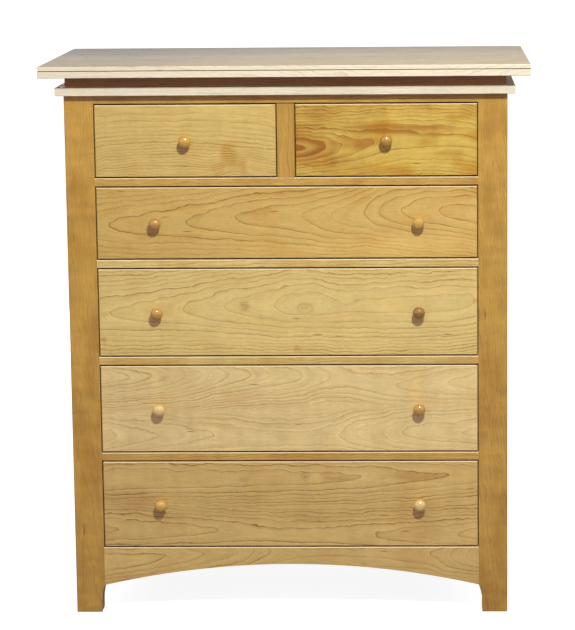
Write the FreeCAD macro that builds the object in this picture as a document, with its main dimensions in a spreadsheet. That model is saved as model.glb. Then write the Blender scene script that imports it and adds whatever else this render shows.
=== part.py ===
import FreeCAD, Part
import math
import os
import Sketcher
from FreeCAD import Vector

# A six-drawer chest in solid cherry. Four corner posts run to the floor as feet, frame-and-panel
# sides and drawer rails are tenoned into them, and a floating top stands on a recessed neck above
# an overhanging cornice. Each drawer is a dovetailed box on wooden runners, with turned knobs.
# Lengths are millimetres. X runs to the right, Y to the back and Z up. The origin lies on the
# floor, below the middle of the top.

DRIVING = {
    "case_width": 1016,
    "case_depth": 508,
    "post_width": 67.3,
    "post_depth": 45,
    "foot_inset": 8.3,
    "foot_straight": 20,
    "arch_foot": 66,
    "arch_rise": 50.5,
    "side_arch_rise": 26,
    "apron_top": 157.5,
    "tall_opening": 208.5,
    "low_opening": 170.5,
    "rail_height": 20,
    "top_rail_height": 21,
    "divider_width": 41,
    "top_overhang": 51,
    "top_back_overhang": 5,
    "top_thickness": 26.4,
    "lower_lip": 15.3,
    "edge_groove_height": 1.6,
    "edge_groove_depth": 3,
    "top_round": 1.6,
    "neck_height": 24.1,
    "neck_width": 22,
    "neck_inset": 3,
    "cornice_height": 19.5,
    "cornice_width": 62,
    "cornice_overhang": 17.5,
    "cornice_round": 1.5,
    "arris": 1.8,
    "tenon_length": 15,
    "tenon_thickness": 10,
    "tenon_shoulder": 8,
    "side_frame_setback": 3,
    "side_frame_thickness": 20,
    "side_top_rail_height": 75,
    "panel_thickness": 10,
    "panel_groove": 8,
    "panel_play": 0.4,
    "back_thickness": 6.4,
    "back_rabbet_depth": 8,
    "back_rabbet_width": 8,
    "rear_rail_thickness": 20,
    "rear_top_rail_height": 60,
    "rear_bottom_rail_height": 55,
    "ledge_width": 40,
    "guide_height": 12,
    "runner_tenon_length": 10,
    "runner_tenon_width": 30,
    "running_clearance": 0.3,
    "side_clearance": 0.5,
    "stop_clearance": 0.3,
    "stop_height": 8,
    "stop_width": 40,
    "stop_offset": 230,
    "drawer_gap": 2,
    "drawer_rear_space": 8,
    "front_thickness": 20,
    "drawer_side_thickness": 12.7,
    "drawer_side_drop": 4,
    "drawer_back_thickness": 12.7,
    "drawer_back_setback": 10,
    "drawer_back_drop": 6,
    "housing_depth": 5,
    "drawer_bottom_thickness": 6.4,
    "drawer_bottom_height": 12.7,
    "drawer_groove_depth": 6.4,
    "tail_lap": 5,
    "tail_slope": 7,
    "tail_share": 0.68,
    "low_tail_count": 5,
    "tall_tail_count": 6,
    "knob_offset": 303,
    "knob_diameter": 28.5,
    "knob_length": 27.5,
    "knob_foot_diameter": 17,
    "knob_neck_diameter": 12.5,
    "knob_neck_place": 7,
    "knob_dome_height": 12,
    "knob_tenon_diameter": 9.5,
    "knob_tenon_play": 0.1,
    "screw_diameter": 4.5,
    "screw_head_diameter": 9,
    "screw_head_height": 3,
    "screw_bite": 14,
    "screw_play": 0.25,
    "screw_offset": 400,
}

doc = FreeCAD.newDocument("chest")
sheet = doc.addObject("Spreadsheet::Sheet", "Sizes")
for line, (alias, number) in enumerate(DRIVING.items(), start=1):
    sheet.set(f"A{line}", alias)
    sheet.set(f"B{line}", str(number))
    sheet.setAlias(f"B{line}", alias)
doc.recompute()


def total(*terms):
    """An expression that adds up other expressions."""
    return "(" + " + ".join(terms) + ")"


def size(alias):
    """The expression that reads one of the driving dimensions."""
    return "Sizes." + alias


def minus(term):
    return f"(-({term}))"


def half(term):
    return f"({term} / 2)"


def value(expression):
    return float(sheet.evalExpression(expression))


# Faces of the case that many pieces share.
CASE_SIDE = half(size("case_width"))
OPENING = total(CASE_SIDE, minus(size("post_width")))
POST_INSIDE = total(CASE_SIDE, minus(size("post_depth")))
TOP_BACK = half(total(size("case_depth"), size("top_overhang"), size("top_back_overhang")))
CASE_FRONT = total(minus(TOP_BACK), size("top_overhang"))
CASE_BACK = total(TOP_BACK, minus(size("top_back_overhang")))
POST_BACK = total(CASE_FRONT, size("post_depth"))
REAR_POST_FRONT = total(CASE_BACK, minus(size("post_width")))
RABBET_FLOOR = total(CASE_BACK, minus(size("back_rabbet_depth")))
REAR_RAIL_FRONT = total(RABBET_FLOOR, minus(size("rear_rail_thickness")))

# Lower edges of the drawer openings, from the bottom row up, and the levels stacked on them.
STEP_TALL = total(size("tall_opening"), size("rail_height"))
STEP_LOW = total(size("low_opening"), size("rail_height"))
BOTTOM_ROW = size("apron_top")
FOURTH_ROW = total(BOTTOM_ROW, STEP_TALL)
THIRD_ROW = total(FOURTH_ROW, STEP_TALL)
SECOND_ROW = total(THIRD_ROW, STEP_TALL)
TOP_ROW = total(SECOND_ROW, STEP_LOW)
OPENINGS_TOP = total(TOP_ROW, size("low_opening"))
CASE_TOP = total(OPENINGS_TOP, size("top_rail_height"))
CORNICE_TOP = total(CASE_TOP, size("cornice_height"))
NECK_TOP = total(CORNICE_TOP, size("neck_height"))

# Drawer parts that run from front to back.
FRONT_INSIDE = total(CASE_FRONT, size("front_thickness"))
TAIL_END = total(CASE_FRONT, size("tail_lap"))
DRAWER_REAR = total(REAR_RAIL_FRONT, minus(size("drawer_rear_space")))
DRAWER_BACK_REAR = total(DRAWER_REAR, minus(size("drawer_back_setback")))
DRAWER_BACK_FRONT = total(DRAWER_BACK_REAR, minus(size("drawer_back_thickness")))
STOP_FRONT = total(FRONT_INSIDE, size("stop_clearance"))

# Side panel and side rails, counted outwards from the middle of the case.
FRAME_OUTSIDE = total(CASE_SIDE, minus(size("side_frame_setback")))
FRAME_INSIDE = total(FRAME_OUTSIDE, minus(size("side_frame_thickness")))
PANEL_SHOULDER = half(total(size("side_frame_thickness"), minus(size("panel_thickness"))))
PANEL_INSIDE = total(FRAME_INSIDE, PANEL_SHOULDER)
PANEL_OUTSIDE = total(PANEL_INSIDE, size("panel_thickness"))
SIDE_TOP_RAIL_LOW = total(CASE_TOP, minus(size("side_top_rail_height")))

# The direction of a sketch's own normal, and the sign that turns a place into its offset.
PLANES = {"XY_Plane": 1, "XZ_Plane": -1, "YZ_Plane": 1}

nodes = {}


def body(label):
    made = doc.addObject("PartDesign::Body", label)
    made.Label = label
    return made


def keep(label, pieces):
    """Names one piece, or a group of like pieces, as a sub-part that is written out."""
    if len(pieces) == 1:
        node = pieces[0]
    else:
        node = doc.addObject("Part::Compound", label)
        node.Links = pieces
        for number, piece in enumerate(pieces, start=1):
            piece.Label = f"{label}_piece_{number}"
    node.Label = label
    nodes[label] = node


def new_sketch(owner, plane, place):
    """A sketch on one of the body's own origin planes, moved along its normal to a place."""
    sketch = owner.newObject("Sketcher::SketchObject", "outline")
    origin = [f for f in owner.Origin.OriginFeatures if f.Role == plane][0]
    sketch.AttachmentSupport = [(origin, "")]
    sketch.MapMode = "FlatFace"
    sketch.setExpression("AttachmentOffset.Base.z", f"{PLANES[plane]} * {place}")
    return sketch


def pin_point(sketch, geometry, end, across, up):
    """Ties one end of a line or arc to its two coordinates."""
    for kind, axis, expression in (("DistanceX", -2, across), ("DistanceY", -1, up)):
        if expression == "0":
            sketch.addConstraint(Sketcher.Constraint("PointOnObject", geometry, end, axis))
            continue
        number = sketch.addConstraint(
            Sketcher.Constraint(kind, -1, 1, geometry, end, value(expression)))
        sketch.setExpression(f"Constraints[{number}]", expression)


def arc_geometry(start, finish, radius, side):
    """The shorter arc between two points. Side +1 puts its centre left of the way from start."""
    chord = finish - start
    middle = (start + finish) * 0.5
    reach = math.sqrt(radius ** 2 - (chord.Length / 2) ** 2)
    left = Vector(-chord.y, chord.x, 0).normalize()
    centre = middle + left * reach * side
    first, last = (start, finish) if side > 0 else (finish, start)
    angles = [math.atan2(p.y - centre.y, p.x - centre.x) for p in (first, last)]
    circle = Part.Circle(centre, Vector(0, 0, 1), radius)
    return Part.ArcOfCircle(circle, angles[0], angles[1])


def draw(sketch, corners, arcs=None):
    """Closes an outline through its corners. arcs gives a radius and side to edges by number."""
    arcs = arcs or {}
    places = [Vector(value(a), value(b), 0) for a, b in corners]
    edges = []
    for i, start in enumerate(places):
        finish = places[(i + 1) % len(places)]
        if i in arcs:
            radius, side = arcs[i]
            number = sketch.addGeometry(arc_geometry(start, finish, value(radius), side), False)
            edges.append((number, 1, 2) if side > 0 else (number, 2, 1))
        else:
            edges.append((sketch.addGeometry(Part.LineSegment(start, finish), False), 1, 2))
    for i, (number, start, finish) in enumerate(edges):
        following = edges[(i + 1) % len(edges)]
        sketch.addConstraint(
            Sketcher.Constraint("Coincident", number, finish, following[0], following[1]))
        pin_point(sketch, number, start, *corners[i])
    for i, (radius, side) in arcs.items():
        number = sketch.addConstraint(
            Sketcher.Constraint("Radius", edges[i][0], value(radius)))
        sketch.setExpression(f"Constraints[{number}]", radius)


def extrude(owner, kind, plane, near, far, corners, arcs=None):
    """Pads or pockets an outline from one place along the plane's axis to a higher one."""
    sketch = new_sketch(owner, plane, near)
    draw(sketch, corners, arcs)
    return grow(owner, kind, plane, sketch, near, far)


def grow(owner, kind, plane, sketch, near, far):
    feature = owner.newObject("PartDesign::" + kind, kind.lower())
    feature.Profile = sketch
    feature.setExpression("Length", total(far, minus(near)))
    towards_plus = PLANES[plane] > 0
    feature.Reversed = towards_plus if kind == "Pocket" else not towards_plus
    sketch.Visibility = False
    owner.Tip = feature
    return feature


def block(owner, kind, xs, ys, zs):
    """A rectangular Pad or Pocket between two expressions on each axis."""
    corners = [(xs[0], ys[0]), (xs[1], ys[0]), (xs[1], ys[1]), (xs[0], ys[1])]
    return extrude(owner, kind, "XY_Plane", zs[0], zs[1], corners)


def holes(owner, plane, near, far, centres, diameter):
    """Pockets round holes between two places, at centres given in the plane."""
    sketch = new_sketch(owner, plane, near)
    for across, up in centres:
        centre = Vector(value(across), value(up), 0)
        circle = Part.Circle(centre, Vector(0, 0, 1), value(diameter) / 2)
        number = sketch.addGeometry(circle, False)
        pin_point(sketch, number, 3, across, up)
        radius = sketch.addConstraint(
            Sketcher.Constraint("Radius", number, value(diameter) / 2))
        sketch.setExpression(f"Constraints[{radius}]", half(diameter))
    return grow(owner, "Pocket", plane, sketch, near, far)


def ease(owner, kind, alias, wanted):
    """Chamfers or fillets the edges whose middle and direction the test accepts."""
    doc.recompute()
    tip = owner.Tip
    names = []
    for number, edge in enumerate(tip.Shape.Edges, start=1):
        middle = edge.valueAt((edge.FirstParameter + edge.LastParameter) / 2)
        if wanted(edge, middle):
            names.append(f"Edge{number}")
    feature = owner.newObject("PartDesign::" + kind, kind.lower())
    feature.Base = (tip, names)
    feature.setExpression("Size" if kind == "Chamfer" else "Radius", size(alias))
    owner.Tip = feature


def at(number, expression):
    return abs(number - value(expression)) < 0.001


def along(edge, axis):
    """True for a straight edge that runs along X, Y or Z, given as 0, 1 or 2."""
    if edge.Curve.TypeId != "Part::GeomLine":
        return False
    return abs(abs(edge.tangentAt(edge.FirstParameter)[axis]) - 1) < 1e-6


def ease_front(owner, axis):
    """Breaks the edges that run along an axis on the case's front face."""
    ease(owner, "Chamfer", "arris", lambda edge, middle: along(edge, axis) and at(middle.y, CASE_FRONT))


def sided(side, expression):
    return expression if side > 0 else minus(expression)


def ordered(side, inner, outer):
    """Two places counted outwards from the middle, as a low and a high X on one side."""
    return (inner, outer) if side > 0 else (minus(outer), minus(inner))


def tenon_depth_range(near, far):
    """The tenon's extent across the rail's depth, inside both of its faces."""
    return total(near, size("tenon_shoulder")), total(far, minus(size("tenon_shoulder")))


def centred(low, high, thickness):
    middle = half(total(low, high))
    return total(middle, minus(half(thickness))), total(middle, half(thickness))


def apron_tenon_height():
    return (total(size("arch_foot"), size("tenon_shoulder")),
            total(size("apron_top"), minus(size("rail_height")), minus(size("tenon_shoulder"))))


def rail_tenon(low):
    """Depth and height of the stub tenon on a drawer rail whose lower face is given."""
    ys = tenon_depth_range(CASE_FRONT, POST_BACK)
    return ys, centred(low, total(low, size("rail_height")), size("tenon_thickness"))


def cleat_tenon():
    ys = tenon_depth_range(STOP_FRONT, POST_BACK)
    low = total(BOTTOM_ROW, minus(size("rail_height")))
    return ys, centred(low, BOTTOM_ROW, size("tenon_thickness"))


def apron_tenon():
    return centred(CASE_FRONT, STOP_FRONT, size("tenon_thickness")), apron_tenon_height()


def top_rail_tenon():
    ys = tenon_depth_range(CASE_FRONT, POST_BACK)
    return ys, centred(OPENINGS_TOP, CASE_TOP, size("tenon_thickness"))


def rear_rail_heights():
    """Lower and upper faces of the three rear rails."""
    middle_low = total(TOP_ROW, minus(size("rail_height")))
    bottom_low = total(BOTTOM_ROW, minus(size("rear_bottom_rail_height")))
    top_low = total(CASE_TOP, minus(size("rear_top_rail_height")))
    return [(bottom_low, BOTTOM_ROW), (middle_low, TOP_ROW), (top_low, CASE_TOP)]


def rear_rail_tenon(low, high):
    ys = centred(REAR_RAIL_FRONT, RABBET_FLOOR, size("tenon_thickness"))
    shoulder = minus(size("tenon_shoulder"))
    if (low, high) == rear_rail_heights()[1]:
        return ys, centred(low, high, size("tenon_thickness"))
    return ys, (total(low, size("tenon_shoulder")), total(high, shoulder))


ROWS_ON_RAILS = (TOP_ROW, SECOND_ROW, THIRD_ROW, FOURTH_ROW)
RAIL_LOWS = [total(row, minus(size("rail_height"))) for row in ROWS_ON_RAILS]
FRONT_TENONS = [rail_tenon(low) for low in RAIL_LOWS]
FRONT_TENONS += [cleat_tenon(), apron_tenon(), top_rail_tenon()]
SIDE_RAIL_HEIGHTS = [(size("arch_foot"), BOTTOM_ROW), (SIDE_TOP_RAIL_LOW, CASE_TOP)]


def side_tenon_height(low, high):
    return total(low, size("tenon_shoulder")), total(high, minus(size("tenon_shoulder")))


def front_post(label, side):
    """A front post: its inner edge sweeps out into a slimmer foot below the apron's arch."""
    made = body(label)
    inner = sided(side, OPENING)
    outer = sided(side, CASE_SIDE)
    foot = sided(side, total(OPENING, size("foot_inset")))
    sweep = total(size("arch_foot"), minus(size("foot_straight")))
    radius = f"(({sweep} ^ 2 + {size('foot_inset')} ^ 2) / (2 * {size('foot_inset')}))"
    corners = [(outer, "0"), (outer, CASE_TOP), (inner, CASE_TOP), (inner, size("arch_foot")),
               (foot, size("foot_straight")), (foot, "0")]
    extrude(made, "Pad", "XZ_Plane", CASE_FRONT, POST_BACK, corners, {3: (radius, -side)})
    mortise = ordered(side, OPENING, total(OPENING, size("tenon_length")))
    for ys, zs in FRONT_TENONS:
        block(made, "Pocket", mortise, ys, zs)
    groove = ordered(side, PANEL_INSIDE, PANEL_OUTSIDE)
    low = total(BOTTOM_ROW, minus(size("panel_groove")))
    high = total(SIDE_TOP_RAIL_LOW, size("panel_groove"))
    block(made, "Pocket", groove, (total(POST_BACK, minus(size("panel_groove"))), POST_BACK), (low, high))
    for rail in SIDE_RAIL_HEIGHTS:
        ys = (total(POST_BACK, minus(size("tenon_length"))), POST_BACK)
        block(made, "Pocket", groove, ys, side_tenon_height(*rail))
    ease(made, "Chamfer", "arris", lambda edge, middle: along(edge, 2) and at(abs(middle.x), CASE_SIDE))
    keep(label, [made])


def rear_post(label, side):
    """A rear post, turned so that its wide face is on the side, with a rabbet for the back."""
    made = body(label)
    block(made, "Pad", ordered(side, POST_INSIDE, CASE_SIDE), (REAR_POST_FRONT, CASE_BACK), ("0", CASE_TOP))
    rabbet = ordered(side, POST_INSIDE, total(POST_INSIDE, size("back_rabbet_width")))
    block(made, "Pocket", rabbet, (RABBET_FLOOR, CASE_BACK), (rear_rail_heights()[0][0], CASE_TOP))
    mortise = ordered(side, POST_INSIDE, total(POST_INSIDE, size("tenon_length")))
    for low, high in rear_rail_heights():
        block(made, "Pocket", mortise, *rear_rail_tenon(low, high))
    groove = ordered(side, PANEL_INSIDE, PANEL_OUTSIDE)
    low = total(BOTTOM_ROW, minus(size("panel_groove")))
    high = total(SIDE_TOP_RAIL_LOW, size("panel_groove"))
    ys = (REAR_POST_FRONT, total(REAR_POST_FRONT, size("panel_groove")))
    block(made, "Pocket", groove, ys, (low, high))
    for rail in SIDE_RAIL_HEIGHTS:
        ys = (REAR_POST_FRONT, total(REAR_POST_FRONT, size("tenon_length")))
        block(made, "Pocket", groove, ys, side_tenon_height(*rail))
    ease(made, "Chamfer", "arris", lambda edge, middle: along(edge, 2) and at(abs(middle.x), CASE_SIDE))
    keep(label, [made])


def side_rail(label, side, low, high, groove_low, groove_high, arched):
    """A rail of the side frame, tenoned into both posts and grooved for the panel."""
    made = body(label)
    corners = [(POST_BACK, low), (REAR_POST_FRONT, low), (REAR_POST_FRONT, high), (POST_BACK, high)]
    chord = total(REAR_POST_FRONT, minus(POST_BACK))
    rise = size("side_arch_rise")
    radius = f"((({chord} / 2) ^ 2 + {rise} ^ 2) / (2 * {rise}))"
    arcs = {0: (radius, -1)} if arched else None
    near, far = ordered(side, FRAME_INSIDE, FRAME_OUTSIDE)
    extrude(made, "Pad", "YZ_Plane", near, far, corners, arcs)
    ys = (total(POST_BACK, minus(size("tenon_length"))), POST_BACK)
    tongue = ordered(side, PANEL_INSIDE, PANEL_OUTSIDE)
    block(made, "Pad", tongue, ys, side_tenon_height(low, high))
    ys = (REAR_POST_FRONT, total(REAR_POST_FRONT, size("tenon_length")))
    block(made, "Pad", tongue, ys, side_tenon_height(low, high))
    block(made, "Pocket", tongue, (POST_BACK, REAR_POST_FRONT), (groove_low, groove_high))
    keep(label, [made])


def side_panel(label, side):
    made = body(label)
    reach = total(size("panel_groove"), minus(size("panel_play")))
    ys = (total(POST_BACK, minus(reach)), total(REAR_POST_FRONT, reach))
    zs = (total(BOTTOM_ROW, minus(reach)), total(SIDE_TOP_RAIL_LOW, reach))
    block(made, "Pad", ordered(side, PANEL_INSIDE, PANEL_OUTSIDE), ys, zs)
    keep(label, [made])


def side_frames():
    for word, side in (("left", -1), ("right", 1)):
        front_post(f"front_{word}_post", side)
        rear_post(f"rear_{word}_post", side)
        groove = size("panel_groove")
        side_rail(f"{word}_side_bottom_rail", side, size("arch_foot"), BOTTOM_ROW,
                  total(BOTTOM_ROW, minus(groove)), BOTTOM_ROW, True)
        side_rail(f"{word}_side_top_rail", side, SIDE_TOP_RAIL_LOW, CASE_TOP,
                  SIDE_TOP_RAIL_LOW, total(SIDE_TOP_RAIL_LOW, groove), False)
        side_panel(f"{word}_side_panel", side)


def runner_tenon_box(side, low):
    """The stub tenon on a runner's front end, above a lower face, in the rail before it."""
    inner = total(OPENING, minus(size("ledge_width")))
    spare = half(total(size("ledge_width"), minus(size("runner_tenon_width"))))
    xs = ordered(side, total(inner, spare), total(inner, spare, size("runner_tenon_width")))
    return xs, centred(low, total(low, size("rail_height")), size("tenon_thickness"))


def centre_tenon_box(low):
    reach = half(size("runner_tenon_width"))
    return (minus(reach), reach), centred(low, total(low, size("rail_height")), size("tenon_thickness"))


RUNNER_TENON_DEPTH = (total(POST_BACK, minus(size("runner_tenon_length"))), POST_BACK)


def front_member(made, near, low, high, tenon_box):
    """The shared form of the rails between the front posts: a board with a tenon at each end."""
    ends = (minus(OPENING), OPENING)
    block(made, "Pad", ends, (near, POST_BACK), (low, high))
    reach = total(OPENING, size("tenon_length"))
    block(made, "Pad", (minus(reach), reach), *tenon_box)


def divider_tenon(low, high):
    """Width, depth and height of the centre divider's tenon, in front of the runner's tenon."""
    reach = half(size("tenon_thickness"))
    ys = tenon_depth_range(CASE_FRONT, RUNNER_TENON_DEPTH[0])
    return (minus(reach), reach), ys, (low, high)


DIVIDER_TENON_LENGTH = half(size("rail_height"))


def drawer_rails():
    for number, low in enumerate(RAIL_LOWS, start=1):
        made = body(f"drawer_rail_{number}")
        high = total(low, size("rail_height"))
        front_member(made, CASE_FRONT, low, high, rail_tenon(low))
        for side in (-1, 1):
            xs, zs = runner_tenon_box(side, low)
            block(made, "Pocket", xs, RUNNER_TENON_DEPTH, zs)
        if number == 1:
            xs, zs = centre_tenon_box(low)
            block(made, "Pocket", xs, RUNNER_TENON_DEPTH, zs)
            block(made, "Pocket", *divider_tenon(total(high, minus(DIVIDER_TENON_LENGTH)), high))
        ease_front(made, 0)
        keep(f"drawer_rail_{number}", [made])


def top_rail():
    """The rail above the top drawers, under the cornice."""
    made = body("top_rail")
    front_member(made, CASE_FRONT, OPENINGS_TOP, CASE_TOP, top_rail_tenon())
    mortise = divider_tenon(OPENINGS_TOP, total(OPENINGS_TOP, DIVIDER_TENON_LENGTH))
    block(made, "Pocket", *mortise)
    ease_front(made, 0)
    keep("top_rail", [made])


def centre_divider():
    """The upright between the two top drawers, tenoned into the rails above and below it."""
    made = body("centre_divider")
    reach = half(size("divider_width"))
    block(made, "Pad", (minus(reach), reach), (CASE_FRONT, POST_BACK), (TOP_ROW, OPENINGS_TOP))
    low = total(TOP_ROW, minus(DIVIDER_TENON_LENGTH))
    block(made, "Pad", *divider_tenon(low, total(OPENINGS_TOP, DIVIDER_TENON_LENGTH)))
    ease_front(made, 2)
    keep("centre_divider", [made])


def apron():
    """The board below the bottom drawer, its lower edge one long arc between the feet."""
    made = body("apron")
    rise = size("arch_rise")
    radius = f"(({OPENING} ^ 2 + {rise} ^ 2) / (2 * {rise}))"
    foot = size("arch_foot")
    corners = [(minus(OPENING), foot), (OPENING, foot), (OPENING, BOTTOM_ROW), (minus(OPENING), BOTTOM_ROW)]
    extrude(made, "Pad", "XZ_Plane", CASE_FRONT, STOP_FRONT, corners, {0: (radius, -1)})
    reach = total(OPENING, size("tenon_length"))
    ys, zs = apron_tenon()
    for side in (-1, 1):
        block(made, "Pad", ordered(side, OPENING, reach), ys, zs)
    ease_front(made, 0)
    keep("apron", [made])


def back_of_case():
    panel = body("back_panel")
    reach = total(POST_INSIDE, size("back_rabbet_width"), minus(size("panel_play")))
    ys = (RABBET_FLOOR, total(RABBET_FLOOR, size("back_thickness")))
    block(panel, "Pad", (minus(reach), reach), ys, (rear_rail_heights()[0][0], CASE_TOP))
    keep("back_panel", [panel])
    rails = []
    for low, high in rear_rail_heights():
        made = body("rear_rail")
        block(made, "Pad", (minus(POST_INSIDE), POST_INSIDE), (REAR_RAIL_FRONT, RABBET_FLOOR), (low, high))
        reach = total(POST_INSIDE, size("tenon_length"))
        block(made, "Pad", (minus(reach), reach), *rear_rail_tenon(low, high))
        rails.append(made)
    keep("rear_rails", rails)


def runner(side, row):
    """A rabbeted runner: the drawer side slides on its ledge and against its guide."""
    made = body("runner")
    inner = total(OPENING, minus(size("ledge_width")))
    guide = total(OPENING, minus(size("drawer_gap")), size("side_clearance"))
    low = total(row, minus(size("rail_height")))
    ledge = total(row, size("drawer_gap"), minus(size("running_clearance")))
    high = total(ledge, size("guide_height"))
    profile = [(inner, low), (POST_INSIDE, low), (POST_INSIDE, high), (guide, high), (guide, ledge),
               (inner, ledge)]
    corners = [(sided(side, across), up) for across, up in profile]
    extrude(made, "Pad", "XZ_Plane", POST_BACK, REAR_RAIL_FRONT, corners)
    xs, zs = runner_tenon_box(side, low)
    block(made, "Pad", xs, RUNNER_TENON_DEPTH, zs)
    return made


def centre_runner():
    """The runner between the top drawers, with a guide that both of them slide along."""
    made = body("centre_runner")
    reach = half(size("divider_width"))
    outer = total(reach, size("ledge_width"))
    guide = total(reach, size("drawer_gap"), minus(size("side_clearance")))
    low = total(TOP_ROW, minus(size("rail_height")))
    ledge = total(TOP_ROW, size("drawer_gap"), minus(size("running_clearance")))
    high = total(ledge, size("guide_height"))
    corners = [(minus(outer), low), (outer, low), (outer, ledge), (guide, ledge), (guide, high),
               (minus(guide), high), (minus(guide), ledge), (minus(outer), ledge)]
    extrude(made, "Pad", "XZ_Plane", POST_BACK, REAR_RAIL_FRONT, corners)
    xs, zs = centre_tenon_box(low)
    block(made, "Pad", xs, RUNNER_TENON_DEPTH, zs)
    return made


def kicker(xs):
    """A strip above a top drawer that keeps it from tipping when it is pulled out."""
    made = body("kicker")
    block(made, "Pad", xs, (POST_BACK, REAR_RAIL_FRONT), (OPENINGS_TOP, CASE_TOP))
    return made


def stop_block(side, row):
    made = body("stop_block")
    reach = half(size("stop_width"))
    middle = sided(side, size("stop_offset"))
    xs = (total(middle, minus(reach)), total(middle, reach))
    block(made, "Pad", xs, (STOP_FRONT, POST_BACK), (row, total(row, size("stop_height"))))
    return made


def cleat():
    """The hidden rail behind the apron that carries the bottom runners."""
    made = body("cleat")
    low = total(BOTTOM_ROW, minus(size("rail_height")))
    front_member(made, STOP_FRONT, low, BOTTOM_ROW, cleat_tenon())
    for side in (-1, 1):
        xs, zs = runner_tenon_box(side, low)
        block(made, "Pocket", xs, RUNNER_TENON_DEPTH, zs)
    return made


def drawer_supports():
    rows = (BOTTOM_ROW, FOURTH_ROW, THIRD_ROW, SECOND_ROW, TOP_ROW)
    pieces = [cleat(), centre_runner()]
    pieces += [runner(side, row) for row in rows for side in (-1, 1)]
    pieces += [stop_block(side, row) for row in rows for side in (-1, 1)]
    inner = total(OPENING, minus(size("ledge_width")))
    reach = total(half(size("divider_width")), size("ledge_width"))
    pieces += [kicker(ordered(side, inner, POST_INSIDE)) for side in (-1, 1)]
    pieces.append(kicker((minus(reach), reach)))
    keep("drawer_supports", pieces)


NECK_SIDE = total(CASE_SIDE, minus(size("neck_inset")))
NECK_FRONT = total(CASE_FRONT, size("neck_inset"))
NECK_MIDDLE_FRONT = total(NECK_FRONT, half(size("neck_width")))
NECK_MIDDLE_BACK = total(CASE_BACK, minus(half(size("neck_width"))))
SCREW_XS = [minus(size("screw_offset")), "0", size("screw_offset")]
FRONT_SCREWS = [(x, NECK_MIDDLE_FRONT) for x in SCREW_XS]
BACK_SCREWS = [(x, NECK_MIDDLE_BACK) for x in SCREW_XS]
SCREW_HOLE = total(size("screw_diameter"), size("screw_play"), size("screw_play"))
HEAD_HOLE = total(size("screw_head_diameter"), size("screw_play"), size("screw_play"))
HEAD_TOP = total(CASE_TOP, size("screw_head_height"))


def drill(made, low, high, centres):
    holes(made, "XY_Plane", low, high, centres, SCREW_HOLE)


def cornice_piece(label, corners, centres):
    made = body(label)
    extrude(made, "Pad", "XY_Plane", CASE_TOP, CORNICE_TOP, corners)
    if centres:
        drill(made, CASE_TOP, CORNICE_TOP, centres)
        holes(made, "XY_Plane", CASE_TOP, HEAD_TOP, centres, HEAD_HOLE)
    return made


def cornice_frame():
    """A flat frame on top of the case, mitred at its front corners, that stands out all round."""
    outer_x = total(CASE_SIDE, size("cornice_overhang"))
    outer_y = total(CASE_FRONT, minus(size("cornice_overhang")))
    inner_x = total(outer_x, minus(size("cornice_width")))
    inner_y = total(outer_y, size("cornice_width"))
    front = [(minus(outer_x), outer_y), (outer_x, outer_y), (inner_x, inner_y), (minus(inner_x), inner_y)]
    pieces = [cornice_piece("cornice_front", front, FRONT_SCREWS)]
    for side in (-1, 1):
        profile = [(outer_x, outer_y), (outer_x, CASE_BACK), (inner_x, CASE_BACK), (inner_x, inner_y)]
        corners = [(sided(side, across), up) for across, up in profile]
        pieces.append(cornice_piece("cornice_side", corners, []))
    near = total(CASE_BACK, minus(size("cornice_width")))
    back = [(minus(inner_x), near), (inner_x, near), (inner_x, CASE_BACK), (minus(inner_x), CASE_BACK)]
    pieces.append(cornice_piece("cornice_back", back, BACK_SCREWS))
    ease(pieces[0], "Fillet", "cornice_round",
         lambda edge, middle: along(edge, 0) and at(middle.y, outer_y))
    for piece in pieces[1:3]:
        ease(piece, "Fillet", "cornice_round",
             lambda edge, middle: along(edge, 1) and at(abs(middle.x), outer_x))
    keep("cornice_frame", pieces)


def neck_piece(xs, ys, centres):
    made = body("neck_strip")
    block(made, "Pad", xs, ys, (CORNICE_TOP, NECK_TOP))
    if centres:
        drill(made, CORNICE_TOP, NECK_TOP, centres)
    return made


def neck_frame():
    """The recessed strips that lift the top clear of the cornice."""
    width = size("neck_width")
    ends = (minus(NECK_SIDE), NECK_SIDE)
    between = (total(NECK_FRONT, width), total(CASE_BACK, minus(width)))
    inner = total(NECK_SIDE, minus(width))
    pieces = [neck_piece(ends, (NECK_FRONT, between[0]), FRONT_SCREWS),
              neck_piece(ends, (between[1], CASE_BACK), BACK_SCREWS),
              neck_piece(ordered(-1, inner, NECK_SIDE), between, []),
              neck_piece(ordered(1, inner, NECK_SIDE), between, [])]
    keep("neck_frame", pieces)


def top_board():
    """The top: a thick board with a fine groove round its front and ends."""
    made = body("top_board")
    reach = total(CASE_SIDE, size("top_overhang"))
    near = minus(TOP_BACK)
    groove_low = total(NECK_TOP, size("lower_lip"))
    groove_high = total(groove_low, size("edge_groove_height"))
    top = total(NECK_TOP, size("top_thickness"))
    inside = total(reach, minus(size("edge_groove_depth")))
    inside_near = total(near, size("edge_groove_depth"))
    block(made, "Pad", (minus(reach), reach), (near, TOP_BACK), (NECK_TOP, groove_low))
    block(made, "Pad", (minus(inside), inside), (inside_near, TOP_BACK), (groove_low, groove_high))
    block(made, "Pad", (minus(reach), reach), (near, TOP_BACK), (groove_high, top))
    drill(made, NECK_TOP, total(NECK_TOP, size("screw_bite")), FRONT_SCREWS + BACK_SCREWS)
    ease(made, "Fillet", "top_round",
         lambda edge, middle: (at(middle.z, top) or at(middle.z, NECK_TOP))
         and (at(middle.y, near) or at(abs(middle.x), reach)))
    keep("top_board", [made])


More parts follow.
